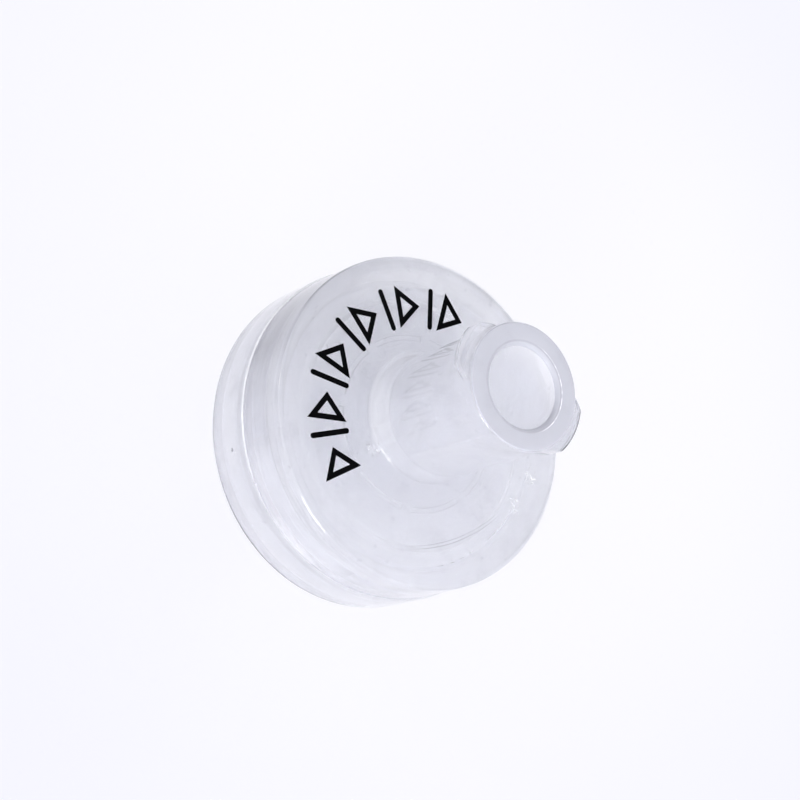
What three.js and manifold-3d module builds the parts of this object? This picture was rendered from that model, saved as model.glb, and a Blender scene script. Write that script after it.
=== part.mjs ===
// Syringe filter: a round sheet filter between two welded plastic housings, with a female luer-lock
// inlet on top and a male luer outlet below. Millimetres, +Z up along the filter's axis, with the
// origin at the centre of the outlet tip's end face.
import * as THREE from 'three';
import { mergeVertices } from 'three/addons/utils/BufferGeometryUtils.js';
import Module from 'manifold-3d';

const wasm = await Module();
wasm.setup();

// Heights along the axis
const outletLength = 8.8;       // outlet tip, from its end face up to the body
const rimHeight = 3.3;          // outlet housing's rim, up to the weld seam
const drumHeight = 3.55;        // inlet housing's drum, from the seam to the front face
const inletLength = 8.5;        // inlet tube above the front face

// Outside of the body
const rimRadius = 9.5;          // rim at the seam
const seamStep = 0.08;          // drum stands back from the rim by this much at the seam
const rimDraft = 0.03;          // rim widens downwards, radius per length
const drumDraft = 0.04;         // drum narrows upwards, radius per length
const rimChamfer = 0.2;         // rim's lower edge
const drumEdgeRadius = 0.3;     // drum's rounded front edge

// Luer inlet: 6 % taper on diameter is 0.03 on radius
const luerTaper = 0.03;
const inletMouthRadius = 2.15;  // wide end of the female taper
const inletLeadIn = 0.25;       // rounding at the mouth
const inletTaperDepth = 8.2;
const inletHoleRadius = 1.1;    // narrow passage into the chamber
const tubeEndRadius = 3.34;     // outside of the tube at its end
const tubeBaseRadius = 3.42;    // and above its flared foot
const tubeEndRounding = 0.15;
const flareWidth = 0.26;        // the tube's foot spreads by this much
const flareHeight = 1.6;

// Two lugs that a luer-lock thread catches
const lugRadius = 3.88;
const lugHalfAngle = 20;        // degrees, of the full-height part
const lugFootHalfAngle = 33;    // degrees, where the ramps reach the tube
const lugSetback = 0.22;        // below the tube's end face
const lugThickness = 0.8;       // at the middle of the lug
const threadLead = 5;           // the lugs' lower faces follow this thread
const lugRoot = 0.5;            // how far a lug reaches into the tube's wall

// Flow chamber and spreading ribs inside the inlet housing
const frontWall = 1.7;          // front face to chamber roof
const chamberRadius = 7;
const chamberDepth = 0.4;
const ribCount = 8;
const ribWidth = 0.35;
const ribClearance = 0.1;       // ribs stop short of the membrane
const spreaderRadius = 4.85;    // middle of the broken ring
const spreaderGap = 0.7;        // between the ring's pieces
const ribInset = 0.4;           // ribs stop this far from the ring and the chamber wall

// Membrane and the joint that holds it
const membraneRadius = 7.9;
const membraneThickness = 0.2;
const membraneClearance = 0.3;  // around the membrane's edge
const jointClearance = 0.15;    // support stands this far inside the drum wall

// Membrane support and outlet
const channelDepth = 0.5;
const channelCount = 8;
const channelWidth = 0.8;
const supportRingPitch = 1.4;
const supportRingWidth = 0.5;
const outletHoleRadius = 1;
const outletTipRadius = 1.99;   // narrow end of the male taper
const outletTipRounding = 0.2;
const rimWall = 1.7;            // rim around the hollow in the rear face
const reliefDepth = 1.5;
const bossRadius = 3.6;         // round base of the outlet tip

// Roundness
const segments = 60;
const arcSteps = 4;

// Levels worked out from the heights
const rearLevel = outletLength;
const seamLevel = rearLevel + rimHeight;
const faceLevel = seamLevel + drumHeight;
const inletEndLevel = faceLevel + inletLength;
const roofLevel = faceLevel - frontWall;
const landLevel = roofLevel - chamberDepth;
const supportLevel = landLevel - membraneThickness;
const channelLevel = supportLevel - channelDepth;

const skirtRadius = membraneRadius + membraneClearance;
const supportRadius = skirtRadius - jointClearance;

const degrees = (angle) => THREE.MathUtils.degToRad(angle);

// Points of an arc in the radius-height plane, from one angle to another
function arc(radius, height, size, fromDegrees, toDegrees, steps = arcSteps) {
  const points = [];
  for (let step = 0; step <= steps; step += 1) {
    const angle = degrees(fromDegrees + ((toDegrees - fromDegrees) * step) / steps);
    points.push([radius + size * Math.cos(angle), height + size * Math.sin(angle)]);
  }
  return points;
}

// A closed geometry becomes a solid that can be joined and cut
function solid(geometry) {
  geometry.deleteAttribute('normal');
  geometry.deleteAttribute('uv');
  const merged = mergeVertices(geometry, 1e-4);
  return new wasm.Manifold(new wasm.Mesh({
    numProp: 3,
    vertProperties: merged.attributes.position.array,
    triVerts: Uint32Array.from(merged.index.array),
  }));
}

// Turns a closed profile of [radius, height] points, given upwards on its outer side
function turned(profile) {
  const points = [...profile, profile[0]].map(([radius, height]) => new THREE.Vector2(radius, height));
  return solid(new THREE.LatheGeometry(points, segments).rotateX(Math.PI / 2));
}

// A flat outline in X and Y, given its lowest level and its height
function raised(shape, level, height) {
  const geometry = new THREE.ExtrudeGeometry(shape, { depth: height, bevelEnabled: false, curveSegments: 6 });
  return solid(geometry.translate(0, 0, level));
}

// A bar along a radius, given its inner and outer ends
function radialBar(innerRadius, outerRadius, width, level, height, angle) {
  const geometry = new THREE.BoxGeometry(outerRadius - innerRadius, width, height);
  geometry.translate((innerRadius + outerRadius) / 2, 0, level + height / 2);
  return solid(geometry.rotateZ(angle));
}

// Evenly spaced angles around the axis
function around(count, phase = 0) {
  return Array.from({ length: count }, (unused, index) => ((index + phase) * 2 * Math.PI) / count);
}

function mesh(name, manifold, colour, roughness) {
  const { vertProperties, triVerts } = manifold.getMesh();
  const geometry = new THREE.BufferGeometry();
  geometry.setAttribute('position', new THREE.BufferAttribute(vertProperties, 3));
  geometry.setIndex(new THREE.BufferAttribute(triVerts, 1));
  geometry.computeVertexNormals();
  const material = new THREE.MeshStandardMaterial({ color: colour, roughness, metalness: 0 });
  const part = new THREE.Mesh(geometry, material);
  part.name = name;
  return part;
}

// One lug: an arc with a ramp at each end, whose lower face climbs with the thread
function lug(angle) {
  const top = inletEndLevel - lugSetback;
  const footRadius = tubeEndRadius - lugRoot;
  const foot = (halfAngle) => [tubeEndRadius * Math.cos(halfAngle), tubeEndRadius * Math.sin(halfAngle)];
  const root = (halfAngle) => [footRadius * Math.cos(halfAngle), footRadius * Math.sin(halfAngle)];
  const reach = 2 * lugThickness;

  const shape = new THREE.Shape();
  shape.moveTo(...root(-degrees(lugFootHalfAngle)));
  shape.lineTo(...foot(-degrees(lugFootHalfAngle)));
  shape.absarc(0, 0, lugRadius, -degrees(lugHalfAngle), degrees(lugHalfAngle));
  shape.lineTo(...foot(degrees(lugFootHalfAngle)));
  shape.lineTo(...root(degrees(lugFootHalfAngle)));

  const slope = Math.atan(threadLead / (2 * Math.PI * lugRadius));
  const below = new THREE.BoxGeometry(4 * lugRadius, 4 * lugRadius, 2 * reach);
  below.translate(0, 0, -reach).rotateX(slope).translate(0, 0, top - lugThickness);
  return raised(shape, top - reach, reach).subtract(solid(below)).rotate([0, 0, (angle * 180) / Math.PI]);
}

// Pieces of the broken ring under the chamber's roof
function spreaderRing() {
  const inner = spreaderRadius - ribWidth / 2;
  const outer = spreaderRadius + ribWidth / 2;
  const halfAngle = Math.PI / ribCount - spreaderGap / (2 * spreaderRadius);
  const height = chamberDepth - ribClearance;
  return around(ribCount).map((angle) => {
    const shape = new THREE.Shape();
    shape.absarc(0, 0, outer, angle - halfAngle, angle + halfAngle);
    shape.absarc(0, 0, inner, angle + halfAngle, angle - halfAngle, true);
    return raised(shape, roofLevel - height, 2 * height);
  });
}

// Straight ribs inside and outside the broken ring
function spreaderRibs() {
  const height = chamberDepth - ribClearance;
  const bar = (inner, outer) => (angle) => radialBar(inner, outer, ribWidth, roofLevel - height, 2 * height, angle);
  const ringInside = spreaderRadius - ribWidth / 2 - ribInset;
  const ringOutside = spreaderRadius + ribWidth / 2 + ribInset;
  return [
    ...around(ribCount).map(bar(inletHoleRadius + ribInset, ringInside)),
    ...around(ribCount, 0.5).map(bar(ringOutside, chamberRadius - ribInset)),
  ];
}

function inletHousing() {
  const drumBase = rimRadius - seamStep;
  const drumFront = drumBase - drumDraft * drumHeight;
  const taperEnd = inletMouthRadius - luerTaper * (inletTaperDepth - inletLeadIn);
  const taperEndLevel = inletEndLevel - inletTaperDepth;
  // the flare is a quarter ellipse, so it runs smoothly into the tube
  const flare = arc(0, 0, 1, 270, 180).map(([x, y]) => [
    tubeBaseRadius + flareWidth * (1 + x), faceLevel + flareHeight * (1 + y),
  ]);

  const body = turned([
    [drumBase, seamLevel],
    ...arc(drumFront - drumEdgeRadius, faceLevel - drumEdgeRadius, drumEdgeRadius, 0, 90),
    ...flare,
    ...arc(tubeEndRadius - tubeEndRounding, inletEndLevel - tubeEndRounding, tubeEndRounding, 0, 90, 2),
    ...arc(inletMouthRadius + inletLeadIn, inletEndLevel - inletLeadIn, inletLeadIn, 90, 180, 3),
    [taperEnd, taperEndLevel],
    [inletHoleRadius, taperEndLevel],
    [inletHoleRadius, roofLevel],
    [chamberRadius, roofLevel],
    [chamberRadius, landLevel],
    [skirtRadius, landLevel],
    [skirtRadius, seamLevel],
  ]);
  return [lug(0), lug(Math.PI), ...spreaderRing(), ...spreaderRibs()]
    .reduce((whole, piece) => whole.add(piece), body);
}

function outletHousing() {
  const rimBase = rimRadius + rimDraft * rimHeight;
  const coneBase = outletTipRadius + luerTaper * outletLength;
  const reliefRadius = rimBase - rimWall;

  // support rings under the membrane, from the land inwards
  const rings = [];
  for (let outer = chamberRadius - supportRingPitch; outer - supportRingWidth > outletHoleRadius;
    outer -= supportRingPitch) {
    const inner = outer - supportRingWidth;
    rings.push([outer, channelLevel], [outer, supportLevel], [inner, supportLevel], [inner, channelLevel]);
  }

  const body = turned([
    ...arc(outletTipRadius - outletTipRounding, outletTipRounding, outletTipRounding, -90, 0, 3),
    [coneBase, rearLevel],
    [bossRadius, rearLevel],
    [bossRadius, rearLevel + reliefDepth],
    [reliefRadius, rearLevel + reliefDepth],
    [reliefRadius, rearLevel],
    [rimBase - rimChamfer, rearLevel],
    [rimBase, rearLevel + rimChamfer],
    [rimRadius, seamLevel],
    [supportRadius, seamLevel],
    [supportRadius, supportLevel],
    [chamberRadius, supportLevel],
    [chamberRadius, channelLevel],
    ...rings,
    [outletHoleRadius, channelLevel],
    [outletHoleRadius, 0],
  ]);
  const channels = around(channelCount, 0.5).map((angle) => radialBar(
    0, chamberRadius - supportRingWidth, channelWidth, channelLevel, 2 * channelDepth, angle,
  ));
  return channels.reduce((whole, channel) => whole.subtract(channel), body);
}

function filterMembrane() {
  const disc = new THREE.CylinderGeometry(membraneRadius, membraneRadius, membraneThickness, segments);
  disc.rotateX(Math.PI / 2).translate(0, 0, supportLevel + membraneThickness / 2);
  return solid(disc);
}

const filter = new THREE.Group();
filter.add(
  mesh('inlet_housing', inletHousing(), 0xe3e7f0, 0.3),
  mesh('filter_membrane', filterMembrane(), 0xf4f4f2, 0.8),
  mesh('outlet_housing', outletHousing(), 0xdfe3ec, 0.3),
);

export default filter;
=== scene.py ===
import math

import bmesh
import bpy
from mathutils import Matrix, Vector


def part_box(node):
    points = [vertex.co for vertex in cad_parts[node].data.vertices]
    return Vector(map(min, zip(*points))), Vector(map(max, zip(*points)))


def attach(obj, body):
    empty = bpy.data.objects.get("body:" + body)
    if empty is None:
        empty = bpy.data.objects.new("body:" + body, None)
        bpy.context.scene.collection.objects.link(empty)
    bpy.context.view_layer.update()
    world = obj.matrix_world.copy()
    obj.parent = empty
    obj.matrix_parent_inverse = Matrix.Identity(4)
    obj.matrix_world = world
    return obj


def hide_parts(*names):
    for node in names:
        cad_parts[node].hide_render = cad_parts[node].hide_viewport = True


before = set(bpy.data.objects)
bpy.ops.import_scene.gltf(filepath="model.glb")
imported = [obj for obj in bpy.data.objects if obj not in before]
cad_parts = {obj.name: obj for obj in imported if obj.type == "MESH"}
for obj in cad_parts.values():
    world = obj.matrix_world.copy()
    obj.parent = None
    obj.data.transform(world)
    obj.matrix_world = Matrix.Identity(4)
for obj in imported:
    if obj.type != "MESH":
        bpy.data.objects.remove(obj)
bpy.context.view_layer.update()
mm = 0.001
roundSteps = 192  # sides of every turned piece
sharpAngle = 35   # edges steeper than this stay crisp
crestAngle = 40   # edges steeper than this are rounded on lugs and ribs
slack = 0.01      # how near to a ring or a level a vertex counts as on it
merge = 0.0005    # vertices nearer to each other than this become one

inletLow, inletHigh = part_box("inlet_housing")
membraneLow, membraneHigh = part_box("filter_membrane")
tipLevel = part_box("outlet_housing")[0].z / mm
seamLevel = inletLow.z / mm
endLevel = inletHigh.z / mm
landLevel = membraneHigh.z / mm
supportLevel = membraneLow.z / mm


# shader trees

class Wire:  # one output socket; arithmetic on it adds Math nodes
    def __init__(self, tree, socket):
        self.tree = tree
        self.socket = socket

    def __add__(self, other):
        return self.tree.maths("ADD", self, other)

    __radd__ = __add__

    def __sub__(self, other):
        return self.tree.maths("SUBTRACT", self, other)

    def __rsub__(self, other):
        return self.tree.maths("SUBTRACT", other, self)

    def __mul__(self, other):
        return self.tree.maths("MULTIPLY", self, other)

    __rmul__ = __mul__

    def __truediv__(self, other):
        return self.tree.maths("DIVIDE", self, other)

    def __rtruediv__(self, other):
        return self.tree.maths("DIVIDE", other, self)


class Tree:  # a material's or the world's nodes
    def __init__(self, owner):
        owner.use_nodes = True
        self.owner = owner
        self.nodes = owner.node_tree.nodes
        self.links = owner.node_tree.links
        self.nodes.clear()

    def node(self, kind, settings=None, sockets=None, output=0):
        made = self.nodes.new("ShaderNode" + kind)
        for key, value in (settings or {}).items():
            setattr(made, key, value)
        for key, value in (sockets or {}).items():
            if isinstance(value, Wire):
                self.links.new(value.socket, made.inputs[key])
            else:
                made.inputs[key].default_value = value
        return Wire(self, made.outputs[output]) if made.outputs else None

    def maths(self, operation, first, second=0.0):
        return self.node("Math", {"operation": operation}, {0: first, 1: second})

    def measure(self, operation, first, second):  # a number from two vectors
        return self.node("VectorMath", {"operation": operation}, {0: first, 1: second}, "Value")

    def noise(self, place, scale, detail=3.0, roughness=0.5):
        return self.node("TexNoise", {}, {
            "Vector": place, "Scale": scale, "Detail": detail, "Roughness": roughness,
        }, "Fac")

    def place(self):
        return self.node("TexCoord", {}, {}, "Object")

    def seenBy(self, *rays):
        seen = [self.node("LightPath", {}, {}, f"Is {ray} Ray") for ray in rays]
        return sum(seen[1:], seen[0])

    def blend(self, factor, first, second):
        first, second = ((*c, 1) if isinstance(c, tuple) else c for c in (first, second))
        return self.node("Mix", {"data_type": "RGBA"}, {"Factor": factor, "A": first, "B": second}, "Result")

    def above(self, value, edge):
        return self.maths("GREATER_THAN", value, edge)

    def below(self, value, edge):
        return 1 - self.above(value, edge)

    def fade(self, value, start, end):  # 1 below start, 0 above end
        return self.node("MapRange", {"interpolation_type": "SMOOTHSTEP"}, {
            "Value": value, "From Min": start, "From Max": end, "To Min": 1.0, "To Max": 0.0,
        })

    def rise(self, value, start, end):  # 0 below start, 1 above end
        return 1 - self.fade(value, start, end)

    def band(self, value, middle, width):  # 1 within half the width, 0 beyond the width
        return self.fade(self.maths("ABSOLUTE", value - middle), width / 2, width)

    def distance(self, place, point):
        return self.measure("DISTANCE", place, Vector(point) * mm) / mm

    def patches(self, place, scale, detail, roughness, start, end):
        return self.rise(self.noise(place, scale, detail, roughness), start, end)

    def finish(self, surface, volume=None):
        kind = "OutputMaterial" if isinstance(self.owner, bpy.types.Material) else "OutputWorld"
        sockets = {"Surface": surface}
        if volume:
            sockets["Volume"] = volume
        self.node(kind, {}, sockets)


def between(mask, low, high=1):
    return low + (high - low) * mask


class TurnedTree(Tree):  # for a piece turned round the Z axis; lengths in millimetres
    def __init__(self, owner):
        super().__init__(owner)
        self.spot = self.place()
        self.flat = self.node("VectorMath", {"operation": "MULTIPLY"}, {0: self.spot, 1: (1, 1, 0)})
        self.radius = self.node("VectorMath", {"operation": "LENGTH"}, {0: self.flat}, "Value") / mm
        self.level = self.node("SeparateXYZ", {}, {"Vector": self.spot}, "Z") / mm

    def towards(self, side):  # how far a place lies towards one side of the axis
        angle = math.radians(side)
        return self.measure("DOT_PRODUCT", self.spot, (math.cos(angle), math.sin(angle), 0)) / mm

    def around(self, side, spread):  # 1 at one side of the axis, 0 beyond the spread
        half, full = math.radians(spread / 2), math.radians(spread)
        return self.rise(self.towards(side) / self.radius, math.cos(full), math.cos(half))

    def stainOrShade(self, share, tint):  # colour of the clear places, for real marks and for painted shade
        self.colour = self.blend(share, self.colour, tint)

    def stainOrShadeDull(self, share, tint):  # colour of the dull places, for smudges and for painted shade
        self.pale = self.blend(share, self.pale, tint)


# milky plastic: radii and levels in millimetres; a band is its middle and width, a side its angle and spread

plastic = {
    "tint": (0.97, 0.975, 1.0), "cloudTint": (0.935, 0.94, 0.97), "clouds": (180, 4),
    "clear": 0.94,  # share of light that goes straight in
    "roughness": (0.04, 0.10), "ior": 1.49,
    "haze": 1000, "hazeForward": 0.5,
    "soak": (0.05, 0.07, 0.17), "soakDensity": 29,
    "grey": (0.6, 0.6, 0.64), "streakGrey": (0.6, 0.6, 0.62),
    "bump": 0.1, "ripple": 0.08, "fineShare": 0.15, "fine": (1400, 3),
    "ringHeight": 0.05, "rings": (2.6, 2),
    # patches: scale, detail, roughness and the two limits between which they fade in
    "speckShare": 0.35, "specks": (2600, 2, 0.6, 0.66, 0.72),
    "smudgeShare": 0.22, "smudges": (620, 4, 0.65, 0.48, 0.72),
    "streakShare": 0.30, "streaks": (1.0, 3, 0.6, 0.42, 0.72),
    "streakTurn": (350, 350, 0), "streakRise": 4, "streakInside": 0.2,
    "drumRadius": 9.2, "boreLevel": 16.2, "boreRadius": 2.3,
    "chalk": (0.95, 0.95, 0.97), "chalkCloud": (0.90, 0.90, 0.92), "chalkRoughness": (0.4, 0.6),
}

rimMarksAndShade = {
    "gateRadius": 9.55, "gateSide": -138.1, "gateLevel": 10.87,
    "stub": (0.3, 0.38), "stubHeight": 0.5,
    "pit": (0.08, 0.13), "pitDepth": 0.8, "pitTint": (0.4, 0.4, 0.44),
    "partingSide": -109.5, "parting": (0, 0.05), "partingFrom": 9, "partingHeight": 0.4,
    "outside": 9.3,
    "rear": (8.99, 0.08), "rearShadeSide": (-93, 42), "rearShadeLeast": 0.35, "rearShadeTint": (0.01, 0.01, 0.012),
    "seamWidth": 0.02, "seamFrost": 0.5, "flashHighlightSide": (-178, 62), "flashLeast": 0.2,
}

drumLightAndShade = {
    "shade": 0.2, "shadeSide": (178, 60), "deepShade": 0.6, "deepSide": (173, 28),
    "tubeShade": 0.12, "tubeLevel": 17,
    "frontRadius": 9, "front": (15.44, 0.08), "frontShadeSide": (148, 34),
    "frontShadeShare": 0.6, "frontShadeTint": (0.05, 0.05, 0.06),
    "shine": (12.4, 0.6), "shineSide": (-105, 13), "shineFrost": 0.1,
}

faceMarksAndShade = {
    "level": 15.5, "radius": 6,
    "broken": (2200, 3, 0.6, 0.47, 0.56),
    "scuffMiddle": (-2.13, 0, 0), "scuff": (9.39, 0.035), "scuffSide": (-22, 48),
    "scuffWave": 0.25, "scuffNoise": (1500, 3, 0.7), "scuffHeight": 0.3, "scuffFrost": 0.25,
    "chamberEdgeMiddle": (-3.34, 2.0, 0), "chamberEdgeLines": ((10.63, 0.03), (10.46, 0.03)), "chamberEdgeSide": (-42, 30),
    "chamberEdgeShadeShare": 0.35, "chamberEdgeShadeTint": (0.1, 0.1, 0.12),
    "flareRadii": (3, 3.85), "flareLevels": (16.6, 17.5), "flareHighlightSide": (180, 75), "flareHighlight": 0.12,
    "nicks": ((7.16, -0.57, 15.65), (7.44, 1.47, 15.65), (-1.99, -3.54, 15.65)), "nickReach": (0.2, 0.6),
    "chips": (4200, 2, 0.6, 0.57, 0.66), "chipFrost": 0.6, "nickGlow": 0.08, "nickHeight": 0.5,
    "arcLevel": 15.4, "arc": (8.0, 0.7), "arcHighlightSide": (110, 55), "arcHighlight": 0.1,
}

skirtMarksAndShade = {
    "level": 14, "chamber": 7.4, "roughness": 0.3,
    "rough": (1100, 3, 0.6, 0.47, 0.53),
    "weld": (8.12, 0.08), "weldLevel": 13.35, "weldGlintSide": (-18, 55), "weldLeast": 0.15, "weldFrost": 0.95,
    "wall": (8.2, 0.06), "wallLevel": 13.5, "paleLightSide": (-110, 34), "paleLightShare": 0.8,
    "darkShadeSide": (150, 65), "darkShadeShare": 0.95, "darkShadeLeast": 0.5, "darkShadeTint": (0.1, 0.1, 0.12),
    "foot": (7.08, 0.04), "corner": (13.88, 0.03), "cornerRadius": 6.7,
    "footShadeSide": (-42, 44), "footShadeTint": (0.15, 0.15, 0.17),
}

tubeMarksAndShade = {
    "boreFrost": 0.15,
    "endDepth": 0.26, "endRadius": 3.3, "endFrost": 0.75, "endShadeTint": (0.465, 0.47, 0.53),
    "lipLevel": 24, "lip": (2.4, 0.022), "lipHighlightSide": (28, 75), "lipLeast": 0.25, "lipHighlight": 0.8,
    "leadInShadeShare": 0.6, "leadInShadeAndSmudgeTint": (0.37, 0.375, 0.42), "smudgeShare": 0.25,
    "lugRadius": 3.82, "lugLevel": 23.86, "lugShadeSide": (-8, 45), "lugShadeTint": (0.02, 0.02, 0.025),
}


def markRimAndShade(tree):
    marks = rimMarksAndShade
    # gate mark
    angle = math.radians(marks["gateSide"])
    gate = (marks["gateRadius"] * math.cos(angle), marks["gateRadius"] * math.sin(angle), marks["gateLevel"])
    away = tree.distance(tree.spot, gate)
    stub = tree.fade(away, *marks["stub"])
    pit = tree.fade(away, *marks["pit"])
    tree.stainOrShade(pit, marks["pitTint"])
    # parting line
    line = tree.band(tree.towards(marks["partingSide"] + 90), *marks["parting"])
    line = line * tree.above(tree.towards(marks["partingSide"]), marks["partingFrom"])
    tree.height = tree.height + marks["stubHeight"] * stub - marks["pitDepth"] * pit
    tree.height = tree.height + marks["partingHeight"] * line
    # painted shade along the rear edge, darker on one side, and a pale line of weld flash at the seam
    outside = tree.above(tree.radius, marks["outside"])
    rear = tree.band(tree.level, *marks["rear"])
    rear = rear * between(tree.around(*marks["rearShadeSide"]), marks["rearShadeLeast"])
    tree.stainOrShade(rear * outside, marks["rearShadeTint"])
    width = marks["seamWidth"]
    seam = tree.rise(tree.level, seamLevel - width * 2, seamLevel - width)
    # painted highlight: the flash line is made stronger on one side
    flash = between(tree.around(*marks["flashHighlightSide"]), marks["flashLeast"])
    tree.frost = tree.frost + marks["seamFrost"] * seam * outside * flash


def paintDrumLightAndShade(tree):
    marks = drumLightAndShade
    # painted shade: one side of the drum greyer, and the tube greyer
    outside = tree.above(tree.radius, plastic["drumRadius"])
    grey = marks["shade"] * outside * tree.around(*marks["shadeSide"])
    grey = grey + marks["deepShade"] * outside * tree.around(*marks["deepSide"])
    grey = grey + marks["tubeShade"] * tree.above(tree.level, marks["tubeLevel"]) * (1 - outside)
    tree.stainOrShade(grey, plastic["grey"])
    # painted shade: a thin dark line along the front edge, on one side
    front = tree.band(tree.level, *marks["front"]) * tree.above(tree.radius, marks["frontRadius"])
    tree.stainOrShade(marks["frontShadeShare"] * front * tree.around(*marks["frontShadeSide"]), marks["frontShadeTint"])
    # painted highlight: a soft pale patch on one side near the seam
    shine = tree.band(tree.level, *marks["shine"]) * outside * tree.around(*marks["shineSide"])
    tree.frost = tree.frost + marks["shineFrost"] * shine


def markFaceAndShade(tree, broken):
    marks = faceMarksAndShade
    onFace = tree.above(tree.level, marks["level"])
    onOuterFace = onFace * tree.above(tree.radius, marks["radius"])
    # broken scuff line
    wave = marks["scuffWave"] * (tree.noise(tree.spot, *marks["scuffNoise"]) - 0.5)
    scuff = broken * tree.band(tree.distance(tree.flat, marks["scuffMiddle"]) + wave, *marks["scuff"])
    scuff = scuff * tree.around(*marks["scuffSide"]) * onOuterFace
    # painted shade: a thin dark double line on one side of the face, standing in for the chamber's edge seen
    # through the clear plastic
    away = tree.distance(tree.flat, marks["chamberEdgeMiddle"])
    chamberEdgeShade = sum(tree.band(away, *line) for line in marks["chamberEdgeLines"])
    chamberEdgeShade = chamberEdgeShade * tree.around(*marks["chamberEdgeSide"]) * onOuterFace
    tree.stainOrShade(marks["chamberEdgeShadeShare"] * chamberEdgeShade, marks["chamberEdgeShadeTint"])
    # painted highlight: a pale crescent on one side at the foot of the tube
    inner, outer = marks["flareRadii"]
    flare = (tree.above(tree.radius, inner) - tree.above(tree.radius, outer)) * onFace
    flare = flare * tree.fade(tree.level, *marks["flareLevels"]) * tree.around(*marks["flareHighlightSide"])
    # small groups of nicks, each with a soft pale glow painted round it as a highlight
    chips = marks["chipFrost"] * tree.patches(tree.spot, *marks["chips"]) + marks["nickGlow"]
    nicks = sum(chips * tree.fade(tree.distance(tree.spot, middle), *marks["nickReach"])
                for middle in marks["nicks"])
    tree.height = tree.height + marks["scuffHeight"] * scuff + marks["nickHeight"] * nicks
    # painted light: a soft pale arc on one side of the face
    arc = tree.band(tree.radius, *marks["arc"]) * tree.above(tree.level, marks["arcLevel"])
    arc = arc * tree.around(*marks["arcHighlightSide"])
    tree.frost = tree.frost + marks["scuffFrost"] * scuff + nicks
    tree.frost = tree.frost + marks["arcHighlight"] * arc + marks["flareHighlight"] * flare


def markSkirtAndShade(tree, streaks):
    marks = skirtMarksAndShade
    inside = tree.below(tree.level, marks["level"])
    inChamber = inside * tree.below(tree.radius, marks["chamber"])
    # matt roof and ribs of the chamber
    tree.roughness = tree.roughness + marks["roughness"] * inChamber
    # rough weld at the corner of the skirt, paler on one side where it is painted as glints
    weld = tree.patches(tree.spot, *marks["rough"]) * tree.band(tree.radius, *marks["weld"])
    weld = weld * between(tree.around(*marks["weldGlintSide"]), marks["weldLeast"])
    weld = weld * tree.above(tree.level, marks["weldLevel"]) * inside
    # painted light and shade on the inner wall: pale at one side, dark at another
    wall = tree.band(tree.radius, *marks["wall"]) * tree.below(tree.level, marks["wallLevel"])
    pale = wall * tree.around(*marks["paleLightSide"])
    dark = wall * tree.around(*marks["darkShadeSide"]) * (marks["darkShadeLeast"] + streaks)
    tree.stainOrShade(marks["darkShadeShare"] * dark, marks["darkShadeTint"])
    # painted shade: dark lines on one side, at the foot of the chamber wall and in the corner of the chamber
    foot = tree.band(tree.radius, *marks["foot"])
    foot = foot + tree.band(tree.level, *marks["corner"]) * tree.above(tree.radius, marks["cornerRadius"])
    tree.stainOrShade(foot * tree.around(*marks["footShadeSide"]) * inChamber, marks["footShadeTint"])
    tree.frost = tree.frost + marks["weldFrost"] * weld + marks["paleLightShare"] * pale


def markTubeAndShade(tree, broken, smudges, bore):
    marks = tubeMarksAndShade
    # painted highlight: a bright broken line on one side of the lip of the mouth
    lip = tree.band(tree.radius, *marks["lip"]) * tree.above(tree.level, marks["lipLevel"])
    lip = lip * tree.around(*marks["lipHighlightSide"]) * between(broken, marks["lipLeast"])
    # painted shade: a grey tone on the dull end face and a darker lead-in, with smudges
    end = tree.above(tree.level, endLevel - marks["endDepth"]) * tree.below(tree.radius, marks["endRadius"])
    plain = end * (1 - lip)
    tree.stainOrShadeDull(plain, marks["endShadeTint"])
    leadIn = plain * tree.below(tree.radius, marks["lip"][0])
    tree.stainOrShadeDull(marks["leadInShadeShare"] * leadIn + marks["smudgeShare"] * smudges * end, marks["leadInShadeAndSmudgeTint"])
    # painted shade: a dark band on the outer edge of one lug
    lug = tree.above(tree.radius, marks["lugRadius"]) * tree.above(tree.level, marks["lugLevel"])
    tree.stainOrShade(lug * tree.around(*marks["lugShadeSide"]), marks["lugShadeTint"])
    tree.frost = tree.frost + marks["lipHighlight"] * lip + marks["boreFrost"] * bore + marks["endFrost"] * end


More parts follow.
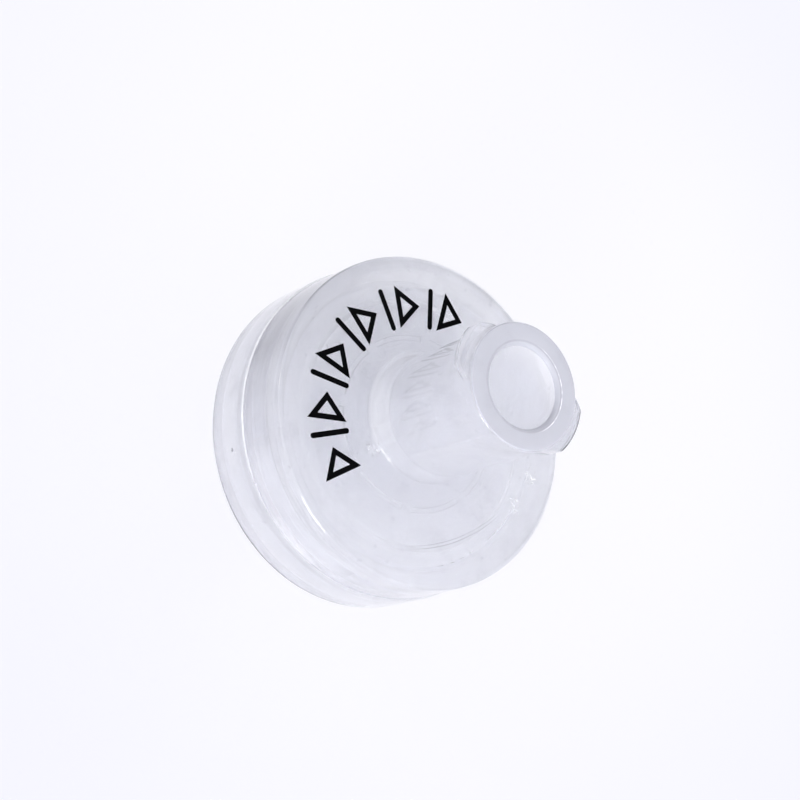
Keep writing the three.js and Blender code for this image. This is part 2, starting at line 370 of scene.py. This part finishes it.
def milkyPlastic(name, rim=False):
    material = bpy.data.materials.new(name)
    tree = TurnedTree(material)
    clouds = tree.noise(tree.spot, *plastic["clouds"])
    fine = tree.noise(tree.spot, *plastic["fine"])
    section = tree.node("CombineXYZ", {}, {"X": tree.radius, "Y": tree.level})
    rings = tree.noise(section, *plastic["rings"])  # faint turned rings left by the mould
    lanes = tree.node("CombineXYZ", {}, {"Z": plastic["streakRise"] * (tree.radius + tree.level)})
    lanes = tree.node("VectorMath", {"operation": "MULTIPLY_ADD"}, {
        0: tree.spot, 1: plastic["streakTurn"], 2: lanes,
    })
    streaks = tree.patches(lanes, *plastic["streaks"])
    specks = tree.patches(tree.spot, *plastic["specks"])
    bore = tree.above(tree.level, plastic["boreLevel"]) * tree.below(tree.radius, plastic["boreRadius"])
    smudges = tree.patches(tree.spot, *plastic["smudges"]) * (1 - bore)
    side = plastic["streakInside"]
    if not rim:
        side = between(tree.above(tree.radius, plastic["drumRadius"]), side)
    tree.colour = tree.blend(clouds, plastic["tint"], plastic["cloudTint"])
    tree.stainOrShade(plastic["speckShare"] * specks, plastic["grey"])
    tree.stainOrShade(plastic["streakShare"] * streaks * side, plastic["streakGrey"])
    tree.stainOrShade(plastic["smudgeShare"] * smudges, plastic["grey"])
    tree.pale = tree.blend(clouds, plastic["chalk"], plastic["chalkCloud"])
    tree.roughness = between(clouds, *plastic["roughness"])
    tree.frost = 0  # share of the dull places: a frosted finish, and pale patches painted as highlights
    ripple = plastic["ripple"] * (clouds + plastic["fineShare"] * fine)
    tree.height = ripple + plastic["ringHeight"] * rings
    if rim:
        markRimAndShade(tree)
    else:
        broken = tree.patches(tree.spot, *faceMarksAndShade["broken"])
        paintDrumLightAndShade(tree)
        markFaceAndShade(tree, broken)
        markSkirtAndShade(tree, streaks)
        markTubeAndShade(tree, broken, smudges, bore)
    bump = tree.node("Bump", {}, {"Strength": 1.0, "Distance": plastic["bump"] * mm, "Height": tree.height})
    clear = tree.node("BsdfPrincipled", {}, {
        "Base Color": tree.colour,
        "Roughness": tree.roughness,
        "IOR": plastic["ior"],
        "Transmission Weight": plastic["clear"],
        "Normal": bump,
    })
    dull = tree.node("BsdfPrincipled", {}, {
        "Base Color": tree.pale,
        "Roughness": between(clouds, *plastic["chalkRoughness"]),
        "Normal": bump,
    })
    surface = tree.node("MixShader", {}, {0: tree.frost, 1: clear, 2: dull})
    haze = tree.node("VolumeScatter", {}, {
        "Density": plastic["haze"], "Anisotropy": plastic["hazeForward"],
    })
    soak = tree.node("VolumeAbsorption", {}, {
        "Color": (*plastic["soak"], 1), "Density": plastic["soakDensity"],
    })
    tree.finish(surface, tree.node("AddShader", {}, {0: haze, 1: soak}))
    return material


# membrane and ink

sheet = {
    "tints": ((0.93, 0.93, 0.94), (0.98, 0.98, 0.985)), "grain": (6000, 4, 0.7),
    "bump": 0.03, "bumpStrength": 0.4, "roughness": 0.85,
    "radius": 7.9, "gap": 0.01,
}

ink = {
    "tints": ((0.001, 0.001, 0.001), (0.005, 0.005, 0.006)), "grain": (9000, 3, 0.6),
    "roughness": (0.7, 0.9),
}


def porousSheet(name):
    material = bpy.data.materials.new(name)
    tree = Tree(material)
    grain = tree.noise(tree.place(), *sheet["grain"])
    bump = tree.node("Bump", {}, {
        "Strength": sheet["bumpStrength"], "Distance": sheet["bump"] * mm, "Height": grain,
    })
    tree.finish(tree.node("BsdfPrincipled", {}, {
        "Base Color": tree.blend(grain, *sheet["tints"]), "Roughness": sheet["roughness"], "Normal": bump,
    }))
    return material


def printedInk(name):
    material = bpy.data.materials.new(name)
    tree = Tree(material)
    grain = tree.noise(tree.place(), *ink["grain"])
    tree.finish(tree.node("BsdfPrincipled", {}, {
        "Base Color": tree.blend(grain, *ink["tints"]),
        "Roughness": between(grain, *ink["roughness"]),
        "Specular IOR Level": 0.0,
    }))
    return material


housingPlastic = milkyPlastic("housingPlastic")
rimPlastic = milkyPlastic("rimPlastic", rim=True)
membraneSheet = porousSheet("membraneSheet")
markInk = printedInk("markInk")
print("materials made")


# turned pieces

def arcPoints(size, fromDegrees, toDegrees, steps):
    angles = [math.radians(fromDegrees + (toDegrees - fromDegrees) * i / steps) for i in range(steps + 1)]
    return [(size * math.cos(a), size * math.sin(a)) for a in angles]


def turn(profile):
    mesh = bmesh.new()
    corners = [mesh.verts.new((radius * mm, 0, height * mm)) for radius, height in profile]
    edges = [mesh.edges.new((a, b)) for a, b in zip(corners, corners[1:] + corners[:1])]
    bmesh.ops.spin(mesh, geom=corners + edges, cent=(0, 0, 0), axis=(0, 0, 1),
                   angle=2 * math.pi, steps=roundSteps, use_merge=True, use_duplicate=False)
    bmesh.ops.remove_doubles(mesh, verts=mesh.verts, dist=merge * mm)
    bmesh.ops.recalc_face_normals(mesh, faces=mesh.faces)
    return mesh


def cylindrical(point):
    return math.hypot(point.x, point.y) / mm, math.atan2(point.y, point.x), point.z / mm


def roundEdges(mesh, edges, size, segments):
    bmesh.ops.bevel(mesh, geom=edges, offset=size * mm, segments=segments,
                    profile=0.5, affect="EDGES", material=-1, clamp_overlap=True)


def roundRing(mesh, radius, height, size, segments):
    def onRing(vert):
        r, angle, z = cylindrical(vert.co)
        return abs(r - radius) < slack and abs(z - height) < slack
    roundEdges(mesh, [e for e in mesh.edges if all(onRing(v) for v in e.verts)], size, segments)


def drawOut(mesh, faces, keep=False):  # gives the vertices of the faces drawn out
    made = bmesh.ops.extrude_face_region(mesh, geom=faces, use_keep_orig=keep)
    return [g for g in made["geom"] if isinstance(g, bmesh.types.BMVert)]


def sink(mesh, faces, depth):
    drawn = drawOut(mesh, faces)
    bmesh.ops.translate(mesh, verts=drawn, vec=(0, 0, -depth * mm))
    bmesh.ops.delete(mesh, geom=faces, context="FACES")
    return drawn


def crests(verts):
    return list({e for v in verts for e in v.link_edges
                 if all(o in verts for o in e.verts) and len(e.link_faces) == 2
                 and e.calc_face_angle(0) > math.radians(crestAngle)})


def linkMesh(mesh, name, material):
    data = bpy.data.meshes.new(name)
    mesh.to_mesh(data)
    mesh.free()
    data.materials.append(material)
    piece = bpy.data.objects.new(name, data)
    bpy.context.scene.collection.objects.link(piece)
    return piece


def makePiece(mesh, name, material):
    for face in mesh.faces:
        face.smooth = True
    for edge in mesh.edges:
        if len(edge.link_faces) == 2 and edge.calc_face_angle(0) > math.radians(sharpAngle):
            edge.smooth = False
    piece = linkMesh(mesh, name, material)
    even = piece.modifiers.new("evenNormals", "WEIGHTED_NORMAL")
    even.keep_sharp = True
    even.weight = 50
    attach(piece, "root")
    return piece


inlet = {
    "drumRadius": 9.42, "drumFront": 9.278, "faceLevel": 15.65, "drumEdge": 0.3,
    "seamEdge": 0.05, "seamGap": 0.03,
    "tubeBase": 3.42, "tubeEnd": 3.34, "endRounding": 0.15,
    "flareWidth": 0.26, "flareHeight": 1.6, "flareSteps": 12,
    "mouth": 2.15, "leadIn": 0.25, "taperEnd": 1.9115, "taperDepth": 8.2, "hole": 1.1,
    "taperEdge": 0.2, "holeEdge": 0.15,
    "roofLevel": 13.95, "chamberTop": 6.85, "chamberFoot": 7.1, "skirt": 8.2,
    "roofEdge": 0.15, "footEdge": 0.05, "skirtEdge": 0.1,
    "lugTop": 0.22, "lugBottom": 1.0, "lugRadius": 3.88, "lugFlat": 20, "lugFoot": 32, "lead": 5.0,
    "tubeWall": 3.2, "lugRoot": 0.02, "lugTaper": 0.01, "lugEdge": 0.06,
    "ribs": 8, "ribWidth": 0.35, "ringHeight": 0.3, "ringEdge": 0.15, "spokeHeight": 0.08,
    "innerRib": (1.5, 4.275), "ringRib": (4.675, 5.025), "outerRib": (5.425, 6.6),
}


def raiseLugs(mesh):
    top = endLevel - inlet["lugTop"]
    bottom = endLevel - inlet["lugBottom"]
    foot = math.radians(inlet["lugFoot"])
    flat = math.radians(inlet["lugFlat"])

    def lugAngle(angle):  # from the middle of the nearer lug
        return (angle + math.pi / 2) % math.pi - math.pi / 2

    band = []
    for face in mesh.faces:
        r, angle, z = cylindrical(face.calc_center_median())
        if r > inlet["tubeWall"] and bottom < z < top and abs(lugAngle(angle)) < foot:
            band.append(face)
    # the lower edge of the band follows the thread
    for vert in {v for f in band for v in f.verts}:
        r, angle, z = cylindrical(vert.co)
        if abs(z - bottom) < slack:
            vert.co.z += lugAngle(angle) * inlet["lead"] / (2 * math.pi) * mm
    raised = drawOut(mesh, band)
    for vert in raised:
        r, angle, z = cylindrical(vert.co)
        away = abs(lugAngle(angle))
        share = 1.0 if away <= flat else max(0.0, (foot - away) / (foot - flat))
        root = r + inlet["lugRoot"]
        radius = root + (inlet["lugRadius"] - root) * share
        vert.co.x *= radius / r
        vert.co.y *= radius / r
    bmesh.ops.delete(mesh, geom=band, context="FACES")
    roundEdges(mesh, crests(raised), inlet["lugEdge"], 3)


def raiseRibs(mesh):
    ring = []
    spokes = []
    step = 2 * math.pi / inlet["ribs"]
    width = inlet["ribWidth"]

    def within(radius, reach):
        return reach[0] < radius < reach[1]

    for face in mesh.faces:
        r, angle, z = cylindrical(face.calc_center_median())
        if abs(z - inlet["roofLevel"]) > slack / 10 or face.normal.z > -0.9:  # not the roof
            continue
        inner = abs((angle + step / 2) % step - step / 2) * r
        outer = abs(angle % step - step / 2) * r
        if within(r, inlet["ringRib"]) and outer > width:
            ring.append(face)
        elif within(r, inlet["innerRib"]) and inner < width / 2:
            spokes.append(face)
        elif within(r, inlet["outerRib"]) and outer < width / 2:
            spokes.append(face)
    crest = crests(sink(mesh, ring, inlet["ringHeight"]))
    roundEdges(mesh, crest, inlet["ringEdge"], 3)
    sink(mesh, spokes, inlet["spokeHeight"])


def inletShell():
    size = inlet
    face = size["faceLevel"]
    flare = [(size["tubeBase"] + size["flareWidth"] * (1 + x), face + size["flareHeight"] * (1 + y))
             for x, y in arcPoints(1, 270, 180, size["flareSteps"])]
    base = seamLevel + size["seamGap"]
    taperEnd = endLevel - size["taperDepth"]
    roof = (size["hole"], *size["innerRib"], *size["ringRib"], *size["outerRib"], size["chamberTop"])
    mesh = turn([
        (size["drumRadius"], base),
        (size["drumFront"], face),
        *flare,
        (size["tubeEnd"] + size["lugTaper"], endLevel - size["lugBottom"]),
        (size["tubeEnd"], endLevel - size["lugTop"]),
        (size["tubeEnd"], endLevel),
        (size["mouth"], endLevel),
        (size["taperEnd"], taperEnd),
        (size["hole"], taperEnd),
        *((radius, size["roofLevel"]) for radius in roof),
        (size["chamberFoot"], landLevel),
        (size["skirt"], landLevel),
        (size["skirt"], base),
    ])
    raiseLugs(mesh)
    raiseRibs(mesh)
    for radius, level, edge, segments in (
        (size["drumFront"], face, size["drumEdge"], 6),
        (size["drumRadius"], base, size["seamEdge"], 2),
        (size["tubeEnd"], endLevel, size["endRounding"], 4),
        (size["mouth"], endLevel, size["leadIn"], 5),
        (size["taperEnd"], taperEnd, size["taperEdge"], 4),
        (size["hole"], taperEnd, size["holeEdge"], 3),
        (size["chamberTop"], size["roofLevel"], size["roofEdge"], 4),
        (size["chamberFoot"], landLevel, size["footEdge"], 2),
        (size["skirt"], landLevel, size["skirtEdge"], 3),
    ):
        roundRing(mesh, radius, level, edge, segments)
    piece = makePiece(mesh, "inlet_shell", housingPlastic)
    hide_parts("inlet_housing")


outlet = {
    "rearLevel": 8.8, "rimBase": 9.599, "rimSeam": 9.5, "rearEdge": 0.22, "seamEdge": 0.06,
    "support": 8.05, "supportEdge": 0.15, "chamber": 7.0, "channelDepth": 0.5, "hole": 1.0,
    "tip": 1.99, "tipRounding": 0.2, "coneBase": 2.254,
    "boss": 3.6, "bossEdge": 0.2, "relief": 7.9, "reliefDepth": 1.5, "reliefEdge": 0.15, "reliefFillet": 0.3,
    "ringPitch": 1.4, "ringWidth": 0.5,
    "channels": 8, "channelWidth": 0.8, "channelCut": 0.45, "channelInset": 0.6,
}


def outletShell():
    size = outlet
    rear = size["rearLevel"]
    reliefLevel = rear + size["reliefDepth"]
    channelLevel = supportLevel - size["channelDepth"]
    rings = []
    outer = size["chamber"] - size["ringPitch"]
    while outer - size["ringWidth"] > size["hole"]:
        inner = outer - size["ringWidth"]
        rings += [(outer, channelLevel), (outer, supportLevel), (inner, supportLevel), (inner, channelLevel)]
        outer -= size["ringPitch"]
    mesh = turn([
        (size["tip"], tipLevel),
        (size["coneBase"], rear),
        (size["boss"], rear),
        (size["boss"], reliefLevel),
        (size["relief"], reliefLevel),
        (size["relief"], rear),
        (size["rimBase"], rear),
        (size["rimSeam"], seamLevel),
        (size["support"], seamLevel),
        (size["support"], supportLevel),
        (size["chamber"], supportLevel),
        (size["chamber"], channelLevel),
        *rings,
        (size["hole"], channelLevel),
        (size["hole"], tipLevel),
    ])
    # radial channels through the support rings
    step = 2 * math.pi / size["channels"]
    reach = size["chamber"] - size["channelInset"]
    sunk = []
    for face in mesh.faces:
        r, angle, z = cylindrical(face.calc_center_median())
        across = abs(angle % step - step / 2) * r
        if r < reach and abs(z - supportLevel) < slack / 10 and across < size["channelWidth"] / 2:
            sunk.append(face)
    sink(mesh, sunk, size["channelCut"])
    for radius, level, edge, segments in (
        (size["rimBase"], rear, size["rearEdge"], 4),
        (size["rimSeam"], seamLevel, size["seamEdge"], 2),
        (size["tip"], tipLevel, size["tipRounding"], 4),
        (size["relief"], reliefLevel, size["reliefFillet"], 4),
        (size["relief"], rear, size["reliefEdge"], 3),
        (size["boss"], reliefLevel, size["reliefFillet"], 4),
        (size["boss"], rear, size["bossEdge"], 3),
        (size["support"], supportLevel, size["supportEdge"], 3),
    ):
        roundRing(mesh, radius, level, edge, segments)
    piece = makePiece(mesh, "outlet_shell", rimPlastic)
    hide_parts("outlet_housing")


def membraneDisc():
    low, high, edge = supportLevel + sheet["gap"], landLevel - sheet["gap"], sheet["radius"]
    mesh = turn([(merge, low), (edge, low), (edge, high), (merge, high)])  # the middle closes to a vertex
    piece = makePiece(mesh, "membrane_disc", membraneSheet)
    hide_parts("filter_membrane")


inletShell()
print("inlet shell made")
outletShell()
print("outlet shell made")
membraneDisc()
print("membrane made")


# printed marks on the front face: plain arrowheads and bars, which mean nothing

printMarks = {
    "level": 15.652, "thickness": 0.012, "inner": 5.15, "outer": 7.55, "stroke": 0.3,
    "first": 237.5, "pitch": 13.3, "count": 11, "arrowWidth": 1.5,
}


def markMesh():
    mesh = bmesh.new()
    middle = (printMarks["inner"] + printMarks["outer"]) / 2
    half = (printMarks["outer"] - printMarks["inner"]) / 2
    pen = printMarks["stroke"] / 2

    def corner(angle, along, out):  # along the arc and outwards from the middle of the band
        turned = math.radians(angle)
        x = middle + out
        return mesh.verts.new(((x * math.cos(turned) + along * math.sin(turned)) * mm,
                               (x * math.sin(turned) - along * math.cos(turned)) * mm,
                               printMarks["level"] * mm))

    def bar(angle):
        ends = arcPoints(pen, 0, 180, 6)
        outline = [(x, half - pen + y) for x, y in ends] + [(-x, pen - half - y) for x, y in ends]
        mesh.faces.new([corner(angle, x, y) for x, y in outline])

    def arrow(angle):
        width = printMarks["arrowWidth"] / 2
        slope = half / (width * 2)
        backX = -width + printMarks["stroke"]
        tipX = width - printMarks["stroke"] * math.hypot(width * 2, half) / half
        outer = [(-width, -half), (width, 0), (-width, half)]
        inner = [(backX, -(tipX - backX) * slope), (tipX, 0), (backX, (tipX - backX) * slope)]
        outside = [corner(angle, x, y) for x, y in outer]
        inside = [corner(angle, x, y) for x, y in inner]
        for i in range(3):
            j = (i + 1) % 3
            mesh.faces.new((outside[i], outside[j], inside[j], inside[i]))

    for index in range(printMarks["count"]):
        draw = bar if index % 2 else arrow
        draw(printMarks["first"] - index * printMarks["pitch"])
    raised = drawOut(mesh, mesh.faces[:], keep=True)
    bmesh.ops.translate(mesh, verts=raised, vec=(0, 0, printMarks["thickness"] * mm))
    bmesh.ops.recalc_face_normals(mesh, faces=mesh.faces)
    return mesh


markPiece = makePiece(markMesh(), "flow_marks", markInk)
print("marks made")


# floor, light and camera

stage = {
    "floorSize": 3.0, "floorColour": (0.955, 0.95, 1.0), "floorMatt": (0.85, 0.85, 0.87), "shadow": 0.12,
    "floorFalloffTint": (0.895, 0.895, 0.985), "floorMiddle": (8, 20, 0), "floorFalloff": (18, 50),
    "sky": (0.97, 0.97, 1.0), "skyLight": 0.98, "skyLean": 0.6, "lightSide": (0.5, -0.8, 0.2),
    "aim": (0, 0, 0.012),
}


def makeFloor():
    material = bpy.data.materials.new("floorPaper")
    tree = Tree(material)
    matt = tree.node("BsdfDiffuse", {}, {"Color": (*stage["floorMatt"], 1)})
    # painted falloff of light: the floor's glow dims towards its edges
    near = tree.fade(tree.distance(tree.place(), stage["floorMiddle"]), *stage["floorFalloff"])
    glow = tree.node("Emission", {}, {
        "Color": tree.blend(near, stage["floorFalloffTint"], stage["floorColour"]), "Strength": 1.0,
    })
    seen = tree.seenBy("Camera", "Glossy", "Transmission")
    share = tree.node("Math", {"operation": "MULTIPLY", "use_clamp": True}, {0: seen, 1: 1 - stage["shadow"]})
    tree.finish(tree.node("MixShader", {}, {0: share, 1: matt, 2: glow}))
    material.cycles.emission_sampling = "NONE"  # else rough surfaces miss the floor's light
    mesh = bmesh.new()
    bmesh.ops.create_grid(mesh, x_segments=1, y_segments=1, size=stage["floorSize"] / 2)
    linkMesh(mesh, "floor", material)


def makeWorld():
    world = bpy.data.worlds.new("studio")
    bpy.context.scene.world = world
    tree = Tree(world)
    direction = tree.node("TexCoord", {}, {}, "Generated")
    towards = tree.measure("DOT_PRODUCT", direction, Vector(stage["lightSide"]).normalized())
    strength = stage["skyLight"] + stage["skyLean"] * towards
    sky = tree.node("Background", {}, {"Color": (*stage["sky"], 1), "Strength": strength})
    seenSky = tree.node("Background", {}, {"Color": (*stage["floorColour"], 1), "Strength": 1.0})
    tree.finish(tree.node("MixShader", {}, {0: tree.seenBy("Camera"), 1: sky, 2: seenSky}))


def makeLamp(name, place, size, power, mirrored=True):
    light = bpy.data.lights.new(name, "AREA")
    light.size = size
    light.energy = power
    lamp = bpy.data.objects.new(name, light)
    bpy.context.scene.collection.objects.link(lamp)
    lamp.location = place
    lamp.visible_glossy = mirrored
    lamp.rotation_euler = (Vector(stage["aim"]) - Vector(place)).to_track_quat("-Z", "Y").to_euler()


view = {
    "place": (-28.55, -37.70, 77.90),
    "right": (0.7190, 0.4151, 0.5575),
    "up": (-0.6042, 0.7697, 0.2061),
    "lens": 64.575, "sensor": 36.0, "clip": 1,
}


def makeCamera():
    data = bpy.data.cameras.new("camera")
    data.lens = view["lens"]
    data.sensor_width = view["sensor"]
    data.clip_start = view["clip"] * mm
    camera = bpy.data.objects.new("camera", data)
    bpy.context.scene.collection.objects.link(camera)
    right = Vector(view["right"]).normalized()
    back = right.cross(Vector(view["up"])).normalized()
    turned = Matrix((right, back.cross(right), back)).transposed()
    camera.matrix_world = Matrix.Translation(Vector(view["place"]) * mm) @ turned.to_4x4()
    bpy.context.scene.camera = camera


lightPaths = {  # light crosses many walls of the plastic before it comes out
    "max_bounces": 64, "transmission_bounces": 64, "glossy_bounces": 32,
    "volume_bounces": 32, "diffuse_bounces": 16, "blur_glossy": 0,
}

makeFloor()
makeWorld()
makeLamp("keyLamp", (-0.06, -0.40, 0.13), 0.16, 1.4)
makeLamp("sideLamp", (-0.38, -0.03, 0.21), 0.06, 0.2)
makeLamp("backLamp", (0.10, 0.38, 0.10), 0.2, 0.85, mirrored=False)
makeCamera()
bpy.context.scene.view_settings.view_transform = "Standard"
for setting, value in lightPaths.items():
    setattr(bpy.context.scene.cycles, setting, value)
print("stage made")
